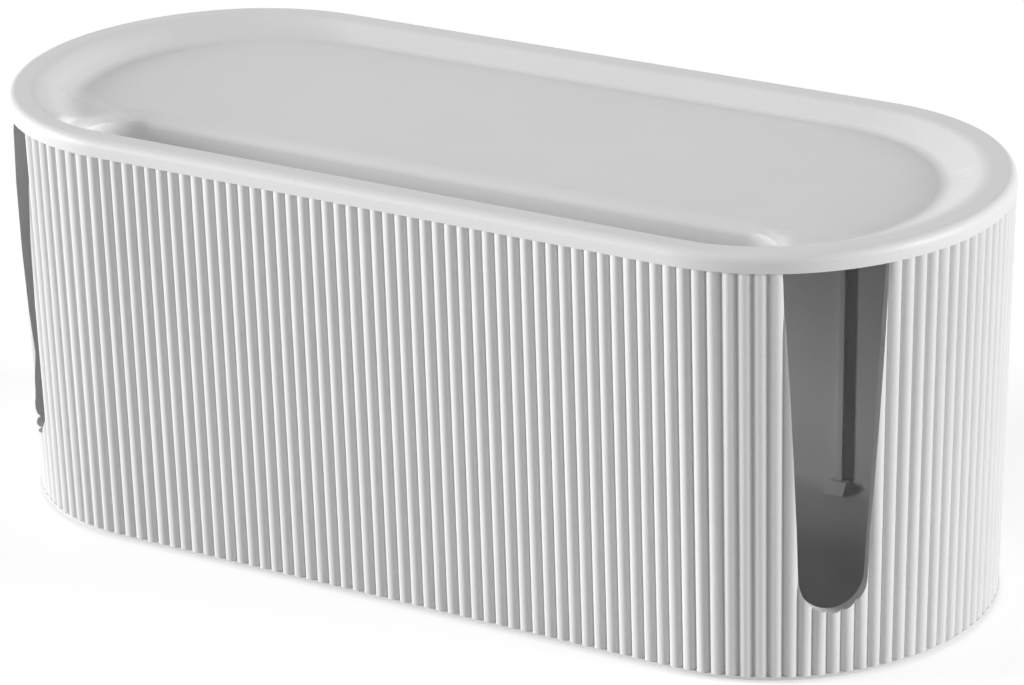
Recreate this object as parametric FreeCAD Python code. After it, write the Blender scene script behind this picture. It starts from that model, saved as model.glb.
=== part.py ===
# Cable management box: an oblong ribbed tub with two tapered cable slots in its
# front corners, and a lift-off lid whose dished top has a groove for a phone.
# Millimetres. The box stands on four rubber feet, with the origin on the table
# under its middle, +X along its length, -Y towards the front and +Z up.
import FreeCAD
import Part
import math
import os

# Plan of the tub, measured in the rib valleys at the bottom edge
STRAIGHT_HALF = 95.0
HALF_WIDTH = 65.5
CORNER_RADIUS = 57.3

# Wall of the tub
FOOT_HEIGHT = 1.0
WALL_BOTTOM = FOOT_HEIGHT
SEAM = 123.0
DRAFT = 0.0218
RIB_COUNT = 190
RIB_HEIGHT = 1.5
RIB_FACETS = 5
PLINTH_HEIGHT = 0.8
PLINTH_PROUD = 0.1
WALL = 2.2
FLOOR = 2.4
FLOOR_FILLET = 5.0

# Cable slots: tapered, with a round bottom, cut square to the wall at 45 degrees
SLOT_BOTTOM = 20.6
SLOT_RADIUS = 9.9
SLOT_TAPER = math.radians(3.2)
SLOT_DIRECTION = math.radians(45.6)
SLOT_REACH = 26.0

# Stiffening ribs inside the rear wall
STIFFENER_X = 82.0
STIFFENER_WIDTH = 1.6
STIFFENER_DEPTH = 1.8
STIFFENER_TOP = 116.0
STIFFENER_FOOT = (6.0, 3.0, 3.5)

# Rubber feet in round pockets
FOOT_RADIUS = 6.5
FOOT_POCKET = 1.0
FOOT_X = 92.0
FOOT_Y = 40.0
FOOT_GAP = 0.1
FOOT_EDGE = 0.4

# Lid: a flat-topped rim round a dish, all one moulding of even thickness
LID_OVERHANG = 0.15
LID_SKIN = 2.2
LID_TOP = 128.4
RIM_ROUND = 2.6
RIM_LAND = 4.0
RIM_STEPS = 3
DISH_FLOOR = 123.0
DISH_HALF_WIDTH = 54.0
DISH_STRAIGHT_HALF = 84.0
DISH_STEPS = 4

# Locating lip that drops inside the tub, open at the cable slots
LIP_GAP = 0.45
LIP_THICK = 1.8
LIP_BOTTOM = 119.4
LIP_OPENING = 36.0

# Phone groove along the front of the dish: an oblong trough with rounded ends
# whose mouth is rounded over at the rear and at both ends
GROOVE_FRONT = -61.6
GROOVE_REAR = -31.6
GROOVE_HALF = 115.5
GROOVE_FLOOR = 108.0
GROOVE_MOUTH_ROUND = 4.0
GROOVE_FLOOR_ROUND = 2.0
GROOVE_STEPS = 3
TROUGH_WALL = 2.0
TROUGH_EDGE = 3.0

QUARTER = math.pi / 2
EIGHTH = math.pi / 4


def vec(x, y, z):
    return FreeCAD.Vector(x, y, z)


def lean(z):
    """How far the drafted wall has moved outwards at height z."""
    return DRAFT * (z - WALL_BOTTOM)


class Plan:
    """Oblong of two straights, with each end made of three tangent arcs: a corner
    arc of 45 degrees, a wider tip arc of 90 degrees and a second corner arc."""

    def __init__(self, straight, width, corner):
        self.straight = straight
        self.width = width
        self.corner = corner
        self.tip = corner + (width - corner) * math.sqrt(2)
        self.corner_y = width - corner
        self.tip_x = straight - (self.tip - corner) / math.sqrt(2)
        self.lengths = [straight, corner * EIGHTH, self.tip * QUARTER / 2]
        self.quarter = sum(self.lengths)

    def at_angle(self, angle, grow=0.0):
        """Point on the front right quarter whose normal turns by angle from -Y."""
        if angle <= EIGHTH:
            radius = self.corner + grow
            centre = (self.straight, -self.corner_y)
        else:
            radius = self.tip + grow
            centre = (self.tip_x, 0.0)
        return centre[0] + radius * math.sin(angle), centre[1] - radius * math.cos(angle)

    def quarter_point(self, s, grow):
        """Point at arc length s from the front middle towards the right tip."""
        if s <= self.straight:
            return s, -(self.width + grow)
        if s <= self.straight + self.lengths[1]:
            return self.at_angle((s - self.straight) / self.corner, grow)
        past = s - self.straight - self.lengths[1]
        return self.at_angle(EIGHTH + past / self.tip, grow)

    def point(self, s, grow):
        """Point at arc length s round the whole plan, moved out along its normal."""
        s = s % (4 * self.quarter)
        turn, along = divmod(s, self.quarter)
        if turn == 0:
            return self.quarter_point(along, grow)
        if turn == 1:
            x, y = self.quarter_point(self.quarter - along, grow)
            return x, -y
        if turn == 2:
            x, y = self.quarter_point(along, grow)
            return -x, -y
        x, y = self.quarter_point(self.quarter - along, grow)
        return -x, y

    def outline(self, grow, z):
        """Closed wire of the plan, grown along its normal, at height z."""
        corners = [0.0, EIGHTH, QUARTER]
        start, joint, tip = [self.at_angle(a, grow) for a in corners]
        middle = self.at_angle(EIGHTH / 2, grow)
        right = [
            Part.LineSegment(vec(-start[0], start[1], z), vec(start[0], start[1], z)),
            Part.Arc(vec(*start, z), vec(*middle, z), vec(*joint, z)),
            Part.Arc(vec(*joint, z), vec(*tip, z), vec(joint[0], -joint[1], z)),
            Part.Arc(vec(joint[0], -joint[1], z), vec(middle[0], -middle[1], z), vec(start[0], -start[1], z)),
        ]
        edges = [curve.toShape() for curve in right]
        half_turn = FreeCAD.Placement(vec(0, 0, 0), FreeCAD.Rotation(vec(0, 0, 1), 180))
        for edge in edges[:]:
            other = edge.copy()
            other.Placement = half_turn
            edges.append(other)
        return Part.Wire(Part.__sortEdges__(edges))


TUB_PLAN = Plan(STRAIGHT_HALF, HALF_WIDTH, CORNER_RADIUS)
RIB_PITCH = 4 * TUB_PLAN.quarter / RIB_COUNT


def between(low, high):
    """Solid between two wires, with straight sides."""
    return Part.makeLoft([low, high], True, True)


def rib_wire(z):
    """Outside of the wall at height z: each vertical rib is a round arc in a few chords."""
    half = RIB_PITCH / 2
    radius = (half ** 2 + RIB_HEIGHT ** 2) / (2 * RIB_HEIGHT)
    span = math.asin(half / radius)
    points = []
    for rib in range(RIB_COUNT):
        for facet in range(RIB_FACETS):
            angle = span * (2 * facet / RIB_FACETS - 1)
            along = (rib + 0.5) * RIB_PITCH + radius * math.sin(angle)
            height = RIB_HEIGHT - radius * (1 - math.cos(angle))
            points.append(vec(*TUB_PLAN.point(along, lean(z) + height), z))
    return Part.makePolygon(points + points[:1])


def plinth():
    """Plain band round the foot of the wall, just proud of the ribs' crests."""
    grow = RIB_HEIGHT + PLINTH_PROUD
    top = WALL_BOTTOM + PLINTH_HEIGHT
    return between(TUB_PLAN.outline(grow, WALL_BOTTOM), TUB_PLAN.outline(grow, top))


def edges_at(shape, z, slack=0.01):
    """Edges that lie flat at height z."""
    flat = []
    for edge in shape.Edges:
        box = edge.BoundBox
        if abs(box.ZMin - z) < slack and abs(box.ZMax - z) < slack:
            flat.append(edge)
    return flat


def cavity():
    """Space inside the tub, rounded where the wall meets the floor."""
    low = WALL_BOTTOM + FLOOR
    high = SEAM + 1.0
    space = between(
        TUB_PLAN.outline(lean(low) - WALL, low),
        TUB_PLAN.outline(lean(high) - WALL, high),
    )
    return space.makeFillet(FLOOR_FILLET, edges_at(space, low))


def slot_profile(z_top):
    """Tapered U of a cable slot, in the plane across its direction."""
    centre = SLOT_BOTTOM + SLOT_RADIUS
    side = SLOT_RADIUS * math.cos(SLOT_TAPER)
    tangent = centre - SLOT_RADIUS * math.sin(SLOT_TAPER)
    top = side + (z_top - tangent) * math.tan(SLOT_TAPER)
    left = vec(0, -side, tangent)
    right = vec(0, side, tangent)
    round_end = Part.Arc(left, vec(0, 0, SLOT_BOTTOM), right).toShape()
    corners = [right, vec(0, top, z_top), vec(0, -top, z_top), left]
    straights = [Part.LineSegment(a, b).toShape() for a, b in zip(corners, corners[1:])]
    return Part.Face(Part.Wire([round_end] + straights))


def slot_tool(side):
    """Cutter for the slot in the front corner on the given side, 1 or -1."""
    x, y = TUB_PLAN.at_angle(SLOT_DIRECTION)
    inset = SLOT_REACH / 2
    tool = slot_profile(SEAM + 1.0).extrude(vec(SLOT_REACH, 0, 0))
    tool.translate(vec(-inset, 0, 0))
    tool.rotate(vec(0, 0, 0), vec(0, 0, 1), math.degrees(SLOT_DIRECTION) - 90)
    tool.translate(vec(x, y, 0))
    if side < 0:
        tool = tool.mirror(vec(0, 0, 0), vec(1, 0, 0))
    return tool


def rectangle(x, width, y_near, y_far, z):
    """Flat rectangle wire at height z, centred on x."""
    half = width / 2
    corners = [(x - half, y_near), (x + half, y_near), (x + half, y_far), (x - half, y_far)]
    points = [vec(*corner, z) for corner in corners]
    return Part.makePolygon(points + points[:1])


def stiffener(x):
    """Upright rib on the inside of the rear wall, with a small foot on the floor."""
    floor = WALL_BOTTOM + FLOOR

    def reach(z, depth):
        inside = HALF_WIDTH + lean(z) - WALL
        return inside - depth, inside + WALL / 2

    rib = between(
        rectangle(x, STIFFENER_WIDTH, *reach(floor, STIFFENER_DEPTH), floor),
        rectangle(x, STIFFENER_WIDTH, *reach(STIFFENER_TOP, STIFFENER_DEPTH), STIFFENER_TOP),
    )
    width, depth, height = STIFFENER_FOOT
    deep = FLOOR_FILLET + depth / 2
    foot = between(
        rectangle(x, width, *reach(floor, deep), floor - FLOOR / 2),
        rectangle(x, width, *reach(floor, depth), floor + height),
    )
    return rib.fuse(foot)


def foot_places():
    """Name and centre of each foot."""
    places = {}
    for row, y in (("front", -FOOT_Y), ("rear", FOOT_Y)):
        for side, x in (("left", -FOOT_X), ("right", FOOT_X)):
            places[f"foot_{row}_{side}"] = (x, y)
    return places


def make_tub():
    """Ribbed tub with its cavity, cable slots, stiffening ribs and foot pockets."""
    ribbed = between(rib_wire(WALL_BOTTOM + PLINTH_HEIGHT), rib_wire(SEAM))
    tub = ribbed.fuse(plinth()).cut(cavity())
    for x in (-STIFFENER_X, STIFFENER_X):
        tub = tub.fuse(stiffener(x))
    tub = tub.cut(slot_tool(1)).cut(slot_tool(-1))
    for x, y in foot_places().values():
        pocket = Part.makeCylinder(FOOT_RADIUS + FOOT_GAP, FOOT_POCKET, vec(x, y, WALL_BOTTOM))
        tub = tub.cut(pocket)
    return tub


def make_foot(x, y):
    """Round rubber foot that fills its pocket and stands proud of the base."""
    height = FOOT_HEIGHT + FOOT_POCKET
    foot = Part.makeCylinder(FOOT_RADIUS, height, vec(x, y, 0))
    return foot.makeChamfer(FOOT_EDGE, edges_at(foot, 0))


LID_OUTSIDE = lean(SEAM) + RIB_HEIGHT + LID_OVERHANG
LID_CREST = LID_OUTSIDE - RIM_ROUND


def stack(sections):
    """Solid through a stack of wires, straight from each one to the next."""
    return Part.makeLoft(sections, True, True)


def rim_block():
    """Outside of the lid: an upright band with a rounded upper edge."""
    sections = [TUB_PLAN.outline(LID_OUTSIDE, SEAM)]
    shoulder = LID_TOP - RIM_ROUND
    for step in range(RIM_STEPS + 1):
        angle = QUARTER * step / RIM_STEPS
        grow = LID_CREST + RIM_ROUND * math.cos(angle)
        sections.append(TUB_PLAN.outline(grow, shoulder + RIM_ROUND * math.sin(angle)))
    return stack(sections)


def dish_plan(t):
    """Plan part way from the rim's land (t = 0) to the edge of the dish's floor (t = 1)."""
    edge = LID_CREST - RIM_LAND
    straight = STRAIGHT_HALF + t * (DISH_STRAIGHT_HALF - STRAIGHT_HALF)
    width = HALF_WIDTH + edge + t * (DISH_HALF_WIDTH - HALF_WIDTH - edge)
    corner = CORNER_RADIUS + edge + t * (DISH_HALF_WIDTH - 1.0 - CORNER_RADIUS - edge)
    return Plan(straight, width, corner)


def dish_tool():
    """Cutter for the dish: its floor, an S curve up to the rim's land, and the air above."""
    sections = []
    for step in range(DISH_STEPS, -1, -1):
        t = step / DISH_STEPS
        fall = (1 - math.cos(math.pi * t)) / 2
        sections.append(dish_plan(t).outline(0.0, LID_TOP - (LID_TOP - DISH_FLOOR) * fall))
    sections.append(dish_plan(0.0).outline(0.0, LID_TOP + 1.0))
    return stack(sections)


def lid_hollow():
    """Channel under the rim, between its outer band and the wall of the dish."""
    ceiling = LID_TOP - LID_SKIN
    under_floor = DISH_FLOOR - LID_SKIN
    inside = between(
        dish_plan(1.0).outline(LID_SKIN * 0.7, under_floor),
        dish_plan(0.2).outline(0.0, ceiling + 0.1),
    )
    outside = between(
        TUB_PLAN.outline(LID_OUTSIDE - LID_SKIN, SEAM - 0.5),
        TUB_PLAN.outline(LID_OUTSIDE - LID_SKIN, ceiling),
    )
    return outside.cut(inside)


def lid_plate():
    """Underside of the dish, below the level of the seam."""
    return between(
        dish_plan(1.0).outline(LID_SKIN * 0.7, DISH_FLOOR - LID_SKIN),
        dish_plan(0.7).outline(0.0, SEAM + 0.5),
    )


def locating_lip():
    """Ring that drops inside the wall and keeps the lid in place."""
    outside = lean(LIP_BOTTOM) - WALL - LIP_GAP
    top = LID_TOP - LID_SKIN / 2
    ring = between(TUB_PLAN.outline(outside, LIP_BOTTOM), TUB_PLAN.outline(outside, top))
    bore = between(
        TUB_PLAN.outline(outside - LIP_THICK, LIP_BOTTOM - 1.0),
        TUB_PLAN.outline(outside - LIP_THICK, top + 1.0),
    )
    ring = ring.cut(bore)
    x, y = TUB_PLAN.at_angle(SLOT_DIRECTION)
    for side in (1, -1):
        gate = Part.makeBox(LIP_OPENING, LIP_OPENING, SEAM - LIP_BOTTOM + 1.0)
        gate.translate(vec(-LIP_OPENING / 2, -LIP_OPENING / 2, LIP_BOTTOM - 1.0))
        gate.rotate(vec(0, 0, 0), vec(0, 0, 1), 45)
        gate.translate(vec(side * x, y, 0))
        ring = ring.cut(gate)
    return ring


def groove_wire(grow_front, grow_back, z):
    """Oblong outline of the groove at height z, grown at its front and behind."""
    front = GROOVE_FRONT - grow_front
    rear = GROOVE_REAR + grow_back
    radius = (rear - front) / 2
    middle = (rear + front) / 2
    centre = GROOVE_HALF + grow_back - radius
    corners = [vec(-centre, front, z), vec(centre, front, z), vec(centre, rear, z), vec(-centre, rear, z)]
    edges = [
        Part.LineSegment(corners[0], corners[1]).toShape(),
        Part.Arc(corners[1], vec(centre + radius, middle, z), corners[2]).toShape(),
        Part.LineSegment(corners[2], corners[3]).toShape(),
        Part.Arc(corners[3], vec(-centre - radius, middle, z), corners[0]).toShape(),
    ]
    return Part.Wire(edges)


def groove_tool():
    """Cutter for the groove: rounded floor edge, upright wall and rounded mouth."""
    sections = []
    for step in range(GROOVE_STEPS + 1):
        angle = QUARTER * step / GROOVE_STEPS
        inset = GROOVE_FLOOR_ROUND * (1 - math.sin(angle))
        rise = GROOVE_FLOOR_ROUND * (1 - math.cos(angle))
        sections.append(groove_wire(-inset, -inset, GROOVE_FLOOR + rise))
    spring = DISH_FLOOR - GROOVE_MOUTH_ROUND
    for step in range(GROOVE_STEPS + 1):
        angle = QUARTER * step / GROOVE_STEPS
        flare = GROOVE_MOUTH_ROUND * (1 - math.cos(angle))
        sections.append(groove_wire(0.0, flare, spring + GROOVE_MOUTH_ROUND * math.sin(angle)))
    sections.append(groove_wire(0.0, GROOVE_MOUTH_ROUND, LID_TOP + 1.0))
    return stack(sections)


def trough():
    """Outside of the groove's wall, flared with the mouth and carried up into the rim."""
    low = GROOVE_FLOOR - TROUGH_WALL
    spring = DISH_FLOOR - GROOVE_MOUTH_ROUND
    wide = GROOVE_MOUTH_ROUND + TROUGH_WALL
    block = between(
        groove_wire(TROUGH_WALL, TROUGH_WALL, low),
        groove_wire(TROUGH_WALL, TROUGH_WALL, spring),
    )
    block = block.makeFillet(TROUGH_EDGE, edges_at(block, low))
    mouth = stack([
        groove_wire(TROUGH_WALL, TROUGH_WALL, spring),
        groove_wire(TROUGH_WALL, wide, DISH_FLOOR),
        groove_wire(TROUGH_WALL, wide, LID_TOP - 1.0),
    ])
    return block.fuse(mouth)


def make_lid():
    """Lid with its flat-topped rim, dish, phone groove and locating lip."""
    lid = rim_block().fuse(lid_plate()).cut(lid_hollow())
    lid = lid.fuse(locating_lip()).fuse(trough())
    return lid.cut(dish_tool()).cut(groove_tool())


def export(shape, name):
    """Write one solid to its STEP file, after a check that it is sound."""
    solids = shape.Solids
    if len(solids) != 1 or not solids[0].isValid():
        raise ValueError(f"{name}: {len(solids)} solids, valid {shape.isValid()}")
    solids[0].exportStep(f"parts/{name}.step")
    print(name, "faces", len(solids[0].Faces), "volume", round(solids[0].Volume))


def main():
    os.makedirs("parts", exist_ok=True)
    print("rib pitch", round(RIB_PITCH, 3))
    export(make_tub(), "tub")
    export(make_lid(), "lid")
    for name, (x, y) in foot_places().items():
        export(make_foot(x, y), name)


main()
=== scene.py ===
"""Cable management box: an oblong ribbed tub with a lift-off dished lid.

The tub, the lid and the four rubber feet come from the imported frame. The feet show as
they are, and the tub and the lid as copies with joined faces and smooth shading. This
file gives them their finishes and sets them on a pale floor in soft light, seen from the
front and above, a little to the right.
"""
import math

import bmesh
import bpy
from mathutils import Matrix, Vector


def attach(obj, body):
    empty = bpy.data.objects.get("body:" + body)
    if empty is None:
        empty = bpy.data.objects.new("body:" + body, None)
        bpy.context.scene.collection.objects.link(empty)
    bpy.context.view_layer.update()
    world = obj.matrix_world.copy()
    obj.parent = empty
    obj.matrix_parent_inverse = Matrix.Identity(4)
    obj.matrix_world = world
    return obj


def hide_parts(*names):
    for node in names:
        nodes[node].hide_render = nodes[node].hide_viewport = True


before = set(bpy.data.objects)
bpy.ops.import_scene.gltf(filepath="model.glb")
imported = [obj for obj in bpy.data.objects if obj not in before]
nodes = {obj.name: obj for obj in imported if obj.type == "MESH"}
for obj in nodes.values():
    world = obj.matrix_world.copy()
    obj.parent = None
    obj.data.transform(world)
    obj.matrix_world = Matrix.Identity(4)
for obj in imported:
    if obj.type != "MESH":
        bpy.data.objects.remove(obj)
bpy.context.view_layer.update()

FEET = ("foot_front_left", "foot_front_right", "foot_rear_left", "foot_rear_right")

# Camera, measured from the box's own frame (metres, degrees and millimetres of lens)
CAMERA_PLACE = (0.634545, -1.026149, 0.536158)
CAMERA_AZIMUTH = 31.57
CAMERA_ELEVATION = 21.61
CAMERA_ROLL = -1.29
SENSOR_WIDTH = 36.0
FOCAL_LENGTH = 152.88

# Finishes
WHITE = 0.70
LID_WHITE = 0.70
RUBBER_GREY = 0.35
PLASTIC_ROUGHNESS = 0.36
LID_ROUGHNESS = 0.5
RUBBER_ROUGHNESS = 0.8
REFRACTION = 1.49

# Faint clouds in the white and uneven gloss: scale of the noise and spread either way
CLOUD_SCALE = 14.0
CLOUD_DETAIL = 2.0
CLOUDS = 0.012
GLOSS_SCALE = 60.0
GLOSS_SPREAD = 0.05
NOISE_LOW = 0.3
NOISE_HIGH = 0.7

# Fine grain: scale of the noise on each piece, and how the bump shows it (metres)
TUB_GRAIN = 900.0
LID_GRAIN = 1400.0
RUBBER_GRAIN = 1200.0
FINE_DETAIL = 3.0
GRAIN_STRENGTH = 0.15
GRAIN_HEIGHT = 0.0002

# Points of a CAD mesh nearer than this are one point (metres)
JOIN_DISTANCE = 0.000002

# Edges gentler than SMOOTH_ANGLE are shaded smooth. On the lid, faces this close to one
# plane are joined, and edges sharper than ROUNDED_ANGLE are rounded.
SMOOTH_ANGLE = math.radians(40.0)
FLAT_ANGLE = math.radians(0.3)
ROUNDED_ANGLE = math.radians(55.0)
LID_ROUNDING = 0.0004
ROUNDING_SEGMENTS = 2

# Where the ends of the groove meet the slope of the rim (metres): outside RUN_OUT_X, in
# front of RUN_OUT_Y, between the two heights and within RIM_INSIDE of a corner's centre
RUN_OUT_X = 0.102
RUN_OUT_Y = -0.029
RUN_OUT_LOW = 0.1215
RUN_OUT_HIGH = 0.1282
CORNER_X = 0.095
CORNER_Y = -0.0082
RIM_INSIDE = 0.0552
RUN_OUT_CUTS = (1, 1)
RUN_OUT_PASSES = 12
RUN_OUT_PULL = 0.5

# Room: soft suns (azimuth from the front towards the right, elevation, strength)
SUNS = {
    "left_front": (-62.0, 10.0, 3.7),
    "right": (106.0, 12.0, 2.6),
}
SUN_SPREAD = 20.0
SKY_LIGHT = 0.42
FLOOR_SIZE = 6.0
FLOOR_GREY = 0.60
FLOOR_SEEN_GREY = 0.50
FLOOR_GLOW = 0.62


def set_input(shader, name, value):
    """Sets one socket of a shader node."""
    shader.inputs[name].default_value = value


def grey_colour(level):
    """Opaque grey of one level."""
    return (level, level, level, 1.0)


def noise(tree, place, scale, detail, low, high):
    """Noise over the object's own coordinates, spread between two values."""
    cloud = tree.nodes.new("ShaderNodeTexNoise")
    set_input(cloud, "Scale", scale)
    set_input(cloud, "Detail", detail)
    spread = tree.nodes.new("ShaderNodeMapRange")
    set_input(spread, "From Min", NOISE_LOW)
    set_input(spread, "From Max", NOISE_HIGH)
    set_input(spread, "To Min", low)
    set_input(spread, "To Max", high)
    tree.links.new(place.outputs["Object"], cloud.inputs["Vector"])
    tree.links.new(cloud.outputs["Fac"], spread.inputs["Value"])
    return spread.outputs["Result"]


def plastic(name, grey, roughness, grain_scale):
    """Moulded plastic or rubber: a fine grain, faint clouds in its grey, uneven gloss."""
    material = bpy.data.materials.new(name)
    material.use_nodes = True
    tree = material.node_tree
    shader = tree.nodes["Principled BSDF"]
    set_input(shader, "IOR", REFRACTION)
    place = tree.nodes.new("ShaderNodeTexCoord")
    darkest = grey * (1 - CLOUDS)
    palest = grey * (1 + CLOUDS)
    shade = noise(tree, place, CLOUD_SCALE, CLOUD_DETAIL, darkest, palest)
    tree.links.new(shade, shader.inputs["Base Color"])
    glossiest = roughness - GLOSS_SPREAD
    dullest = roughness + GLOSS_SPREAD
    gloss = noise(tree, place, GLOSS_SCALE, FINE_DETAIL, glossiest, dullest)
    tree.links.new(gloss, shader.inputs["Roughness"])
    grain = noise(tree, place, grain_scale, FINE_DETAIL, 0.0, 1.0)
    bump = tree.nodes.new("ShaderNodeBump")
    set_input(bump, "Strength", GRAIN_STRENGTH)
    set_input(bump, "Distance", GRAIN_HEIGHT)
    tree.links.new(grain, bump.inputs["Height"])
    tree.links.new(bump.outputs["Normal"], shader.inputs["Normal"])
    return material


def finish_with(node, material):
    """Puts one material on the whole of a CAD node."""
    mesh = nodes[node].data
    mesh.materials.clear()
    mesh.materials.append(material)


def in_run_out(point):
    """True where the groove's ends run out into the slope of the rim."""
    beside = abs(point.x) > RUN_OUT_X and point.y < RUN_OUT_Y
    if not (beside and RUN_OUT_LOW < point.z < RUN_OUT_HIGH):
        return False
    return math.hypot(abs(point.x) - CORNER_X, point.y - CORNER_Y) < RIM_INSIDE


def soften_run_out(work):
    """Divides the faces where the groove's ends run out, and blends them into the slope."""
    for cuts in RUN_OUT_CUTS:
        near = [edge for edge in work.edges if all(in_run_out(v.co) for v in edge.verts)]
        bmesh.ops.subdivide_edges(work, edges=near, cuts=cuts)
        many_sided = [face for face in work.faces if len(face.verts) > 4]
        bmesh.ops.triangulate(work, faces=many_sided)
    loose = [vert for vert in work.verts if in_run_out(vert.co)]
    for _ in range(RUN_OUT_PASSES):
        bmesh.ops.smooth_vert(
            work,
            verts=loose,
            factor=RUN_OUT_PULL,
            use_axis_x=True,
            use_axis_y=True,
            use_axis_z=True,
        )


def smooth_copy(node, body, material, rounding=0.0):
    """Shown copy of a CAD node: its faces joined and its gentle edges shaded smooth.
    Where rounding is given, which is on the lid, the ends of the groove are blended into
    the rim and the sharp edges are rounded by that much."""
    source = nodes[node]
    work = bmesh.new()
    work.from_mesh(source.data)
    work.transform(source.matrix_world)
    bmesh.ops.remove_doubles(work, verts=work.verts, dist=JOIN_DISTANCE)
    if rounding:
        soften_run_out(work)
    for face in work.faces:
        face.smooth = True
        face.material_index = 0
    for edge in work.edges:
        joined = len(edge.link_faces) == 2
        gentle = joined and edge.calc_face_angle() < SMOOTH_ANGLE
        edge.smooth = gentle or in_run_out((edge.verts[0].co + edge.verts[1].co) / 2)
    if rounding:
        bmesh.ops.dissolve_limit(
            work,
            angle_limit=FLAT_ANGLE,
            verts=work.verts,
            edges=work.edges,
            delimit={"SHARP"},
        )
    mesh = bpy.data.meshes.new(node + "_skin")
    work.to_mesh(mesh)
    work.free()
    mesh.materials.append(material)
    skin = bpy.data.objects.new(node + "_skin", mesh)
    bpy.context.scene.collection.objects.link(skin)
    if rounding:
        bevel = skin.modifiers.new("rounding", "BEVEL")
        bevel.width = rounding
        bevel.segments = ROUNDING_SEGMENTS
        bevel.angle_limit = ROUNDED_ANGLE
    weighted = skin.modifiers.new("weighted", "WEIGHTED_NORMAL")
    weighted.keep_sharp = True
    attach(skin, body)
    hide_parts(node)


def background_rays(tree):
    """Socket that is 1 for rays that show the background: seen, mirrored or let through."""
    path = tree.nodes.new("ShaderNodeLightPath")
    total = path.outputs["Is Camera Ray"]
    for kind in ("Is Glossy Ray", "Is Transmission Ray"):
        both = tree.nodes.new("ShaderNodeMath")
        both.operation = "MAXIMUM"
        tree.links.new(total, both.inputs[0])
        tree.links.new(path.outputs[kind], both.inputs[1])
        total = both.outputs["Value"]
    return total


def make_floor():
    """Pale floor under the box that shows as white and keeps the box's shadow."""
    half = FLOOR_SIZE / 2
    corners = [(-half, -half, 0.0), (half, -half, 0.0), (half, half, 0.0), (-half, half, 0.0)]
    mesh = bpy.data.meshes.new("floor")
    mesh.from_pydata(corners, [], [(0, 1, 2, 3)])
    floor = bpy.data.objects.new("floor", mesh)
    bpy.context.scene.collection.objects.link(floor)
    material = bpy.data.materials.new("floor")
    material.use_nodes = True
    tree = material.node_tree
    tree.nodes.clear()
    plain = tree.nodes.new("ShaderNodeBsdfDiffuse")
    set_input(plain, "Color", grey_colour(FLOOR_GREY))
    seen = tree.nodes.new("ShaderNodeBsdfDiffuse")
    set_input(seen, "Color", grey_colour(FLOOR_SEEN_GREY))
    glow = tree.nodes.new("ShaderNodeEmission")
    set_input(glow, "Strength", FLOOR_GLOW)
    white = tree.nodes.new("ShaderNodeAddShader")
    choice = tree.nodes.new("ShaderNodeMixShader")
    output = tree.nodes.new("ShaderNodeOutputMaterial")
    tree.links.new(seen.outputs["BSDF"], white.inputs[0])
    tree.links.new(glow.outputs["Emission"], white.inputs[1])
    tree.links.new(background_rays(tree), choice.inputs["Fac"])
    tree.links.new(plain.outputs["BSDF"], choice.inputs[1])
    tree.links.new(white.outputs["Shader"], choice.inputs[2])
    tree.links.new(choice.outputs["Shader"], output.inputs["Surface"])
    mesh.materials.append(material)


def make_world():
    """Even white surroundings that light the box softly and show as pure white."""
    world = bpy.data.worlds.new("room")
    bpy.context.scene.world = world
    world.use_nodes = True
    tree = world.node_tree
    sky = tree.nodes["Background"]
    set_input(sky, "Color", grey_colour(1.0))
    level = tree.nodes.new("ShaderNodeMapRange")
    set_input(level, "To Min", SKY_LIGHT)
    tree.links.new(background_rays(tree), level.inputs["Value"])
    tree.links.new(level.outputs["Result"], sky.inputs["Strength"])


def make_sun(name, azimuth, elevation, strength):
    """Soft sun from an azimuth and an elevation."""
    turn = math.radians(azimuth)
    tilt = math.radians(elevation)
    towards = Vector((
        math.sin(turn) * math.cos(tilt),
        -math.cos(turn) * math.cos(tilt),
        math.sin(tilt),
    ))
    data = bpy.data.lights.new(name, "SUN")
    data.energy = strength
    data.angle = math.radians(SUN_SPREAD)
    lamp = bpy.data.objects.new(name, data)
    bpy.context.scene.collection.objects.link(lamp)
    lamp.rotation_euler = towards.to_track_quat("Z", "Y").to_euler()


def make_camera():
    """Camera from its place, azimuth, elevation and roll."""
    azimuth = math.radians(CAMERA_AZIMUTH)
    elevation = math.radians(CAMERA_ELEVATION)
    roll = math.radians(CAMERA_ROLL)
    ahead = Vector((
        -math.sin(azimuth) * math.cos(elevation),
        math.cos(azimuth) * math.cos(elevation),
        -math.sin(elevation),
    ))
    right = ahead.cross(Vector((0.0, 0.0, 1.0))).normalized()
    up = right.cross(ahead)
    turned_right = right * math.cos(roll) + up * math.sin(roll)
    turned_up = up * math.cos(roll) - right * math.sin(roll)
    data = bpy.data.cameras.new("camera")
    data.sensor_width = SENSOR_WIDTH
    data.lens = FOCAL_LENGTH
    camera = bpy.data.objects.new("camera", data)
    bpy.context.scene.collection.objects.link(camera)
    turn = Matrix((turned_right, turned_up, -ahead)).transposed()
    camera.matrix_world = Matrix.Translation(CAMERA_PLACE) @ turn.to_4x4()
    bpy.context.scene.camera = camera


tub_plastic = plastic("tub_plastic", WHITE, PLASTIC_ROUGHNESS, TUB_GRAIN)
lid_plastic = plastic("lid_plastic", LID_WHITE, LID_ROUGHNESS, LID_GRAIN)
foot_rubber = plastic("foot_rubber", RUBBER_GREY, RUBBER_ROUGHNESS, RUBBER_GRAIN)
smooth_copy("tub", "tub", tub_plastic)
smooth_copy("lid", "lid", lid_plastic, LID_ROUNDING)
for foot in FEET:
    finish_with(foot, foot_rubber)

make_floor()
make_world()
make_camera()
for sun_name, sun_facts in SUNS.items():
    make_sun(sun_name, *sun_facts)
bpy.context.scene.view_settings.view_transform = "Standard"
